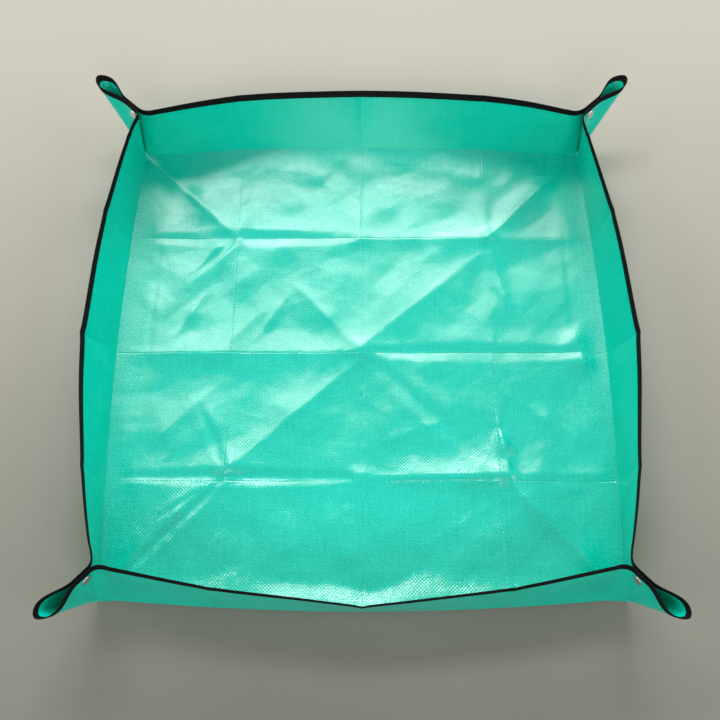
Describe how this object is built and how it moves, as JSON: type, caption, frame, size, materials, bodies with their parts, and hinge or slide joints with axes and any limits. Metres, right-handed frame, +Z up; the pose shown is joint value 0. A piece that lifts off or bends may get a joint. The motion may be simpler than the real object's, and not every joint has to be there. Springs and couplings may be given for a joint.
{
  "type": "gardening mat",
  "caption": "Square waterproof sheet with bound edges whose pinched, snapped corners raise the borders into a shallow tray for repotting plants.",
  "frame": {"origin": "centre of the sheet floor, on its underside", "axes": "+Z up out of the tray, -Y towards the front wall, +X along the front wall to the right"},
  "size_m": [0.6268, 0.6185, 0.0978],
  "materials": {
    "sheet": "satin laminated weave",
    "binding": "matt woven tape",
    "snap": "satin plated metal"
  },
  "bodies": {
    "floor": {"floor_sheet": "sheet"},
    "front_wall": {"wall_front": "sheet", "binding_front": "binding"},
    "back_wall": {"wall_back": "sheet", "binding_back": "binding"},
    "left_wall": {"wall_left": "sheet", "binding_left": "binding"},
    "right_wall": {"wall_right": "sheet", "binding_right": "binding"},
    "ear_fl_front": {"ear_fl_front": "sheet", "ear_binding_fl_front": "binding", "snap_cap_fl": "snap", "snap_socket_fl": "snap"},
    "ear_fl_left": {"ear_fl_left": "sheet", "ear_binding_fl_left": "binding", "snap_stud_fl": "snap", "snap_post_fl": "snap"},
    "ear_fr_front": {"ear_fr_front": "sheet", "ear_binding_fr_front": "binding", "snap_cap_fr": "snap", "snap_socket_fr": "snap"},
    "ear_fr_right": {"ear_fr_right": "sheet", "ear_binding_fr_right": "binding", "snap_stud_fr": "snap", "snap_post_fr": "snap"},
    "ear_bl_back": {"ear_bl_back": "sheet", "ear_binding_bl_back": "binding", "snap_stud_bl": "snap", "snap_post_bl": "snap"},
    "ear_bl_left": {"ear_bl_left": "sheet", "ear_binding_bl_left": "binding", "snap_cap_bl": "snap", "snap_socket_bl": "snap"},
    "ear_br_back": {"ear_br_back": "sheet", "ear_binding_br_back": "binding", "snap_stud_br": "snap", "snap_post_br": "snap"},
    "ear_br_right": {"ear_br_right": "sheet", "ear_binding_br_right": "binding", "snap_cap_br": "snap", "snap_socket_br": "snap"}
  },
  "joints": [
    {"name": "front_wall_fold", "type": "hinge", "parent": "floor", "child": "front_wall", "pos_m": [0, -0.266, 0.00025], "axis": [1, 0, 0], "range_deg": [0, 102.3]},
    {"name": "back_wall_fold", "type": "hinge", "parent": "floor", "child": "back_wall", "pos_m": [0, 0.266, 0.00025], "axis": [-1, 0, 0], "range_deg": [0, 73.9]},
    {"name": "left_wall_fold", "type": "hinge", "parent": "floor", "child": "left_wall", "pos_m": [-0.266, 0, 0.00025], "axis": [0, -1, 0], "range_deg": [0, 89.8]},
    {"name": "right_wall_fold", "type": "hinge", "parent": "floor", "child": "right_wall", "pos_m": [0.266, 0, 0.00025], "axis": [0, 1, 0], "range_deg": [0, 89.8]},
    {"name": "ear_fl_front_fold", "type": "hinge", "parent": "front_wall", "child": "ear_fl_front", "pos_m": [-0.26375, -0.26581, 0.00036], "axis": [0.0178, -0.489, -0.8721], "range_deg": [0, 59]},
    {"name": "ear_fl_left_fold", "type": "hinge", "parent": "left_wall", "child": "ear_fl_left", "pos_m": [-0.26626, -0.26419, 0.00014], "axis": [0.639, 0.0164, 0.769], "range_deg": [0, 42.3]},
    {"name": "ear_fr_front_fold", "type": "hinge", "parent": "front_wall", "child": "ear_fr_front", "pos_m": [0.26375, -0.26581, 0.00036], "axis": [0.0178, 0.489, 0.8721], "range_deg": [0, 59]},
    {"name": "ear_fr_right_fold", "type": "hinge", "parent": "right_wall", "child": "ear_fr_right", "pos_m": [0.26626, -0.26419, 0.00014], "axis": [0.639, -0.0164, -0.769], "range_deg": [0, 42.3]},
    {"name": "ear_bl_back_fold", "type": "hinge", "parent": "back_wall", "child": "ear_bl_back", "pos_m": [-0.26402, 0.2661, -0.00002], "axis": [0.015, 0.1518, 0.9883], "range_deg": [0, 41.3]},
    {"name": "ear_bl_left_fold", "type": "hinge", "parent": "left_wall", "child": "ear_bl_left", "pos_m": [-0.26598, 0.2639, 0.00052], "axis": [-0.0722, -0.1745, -0.982], "range_deg": [0, 48.4]},
    {"name": "ear_br_back_fold", "type": "hinge", "parent": "back_wall", "child": "ear_br_back", "pos_m": [0.26402, 0.2661, -0.00002], "axis": [0.015, -0.1518, -0.9883], "range_deg": [0, 41.3]},
    {"name": "ear_br_right_fold", "type": "hinge", "parent": "right_wall", "child": "ear_br_right", "pos_m": [0.26598, 0.2639, 0.00052], "axis": [-0.0722, 0.1745, 0.982], "range_deg": [0, 48.4]}
  ],
  "couplings": [
    {"joint": "back_wall_fold", "follows": "front_wall_fold", "ratio": 0.72043},
    {"joint": "left_wall_fold", "follows": "front_wall_fold", "ratio": 0.87586},
    {"joint": "right_wall_fold", "follows": "front_wall_fold", "ratio": 0.87586},
    {"joint": "ear_fl_front_fold", "follows": "front_wall_fold", "ratio": 0.5744},
    {"joint": "ear_fl_left_fold", "follows": "front_wall_fold", "ratio": 0.412},
    {"joint": "ear_fr_front_fold", "follows": "front_wall_fold", "ratio": 0.5744},
    {"joint": "ear_fr_right_fold", "follows": "front_wall_fold", "ratio": 0.412},
    {"joint": "ear_bl_back_fold", "follows": "front_wall_fold", "ratio": 0.40161},
    {"joint": "ear_bl_left_fold", "follows": "front_wall_fold", "ratio": 0.47087},
    {"joint": "ear_br_back_fold", "follows": "front_wall_fold", "ratio": 0.40161},
    {"joint": "ear_br_right_fold", "follows": "front_wall_fold", "ratio": 0.47087}
  ]
}
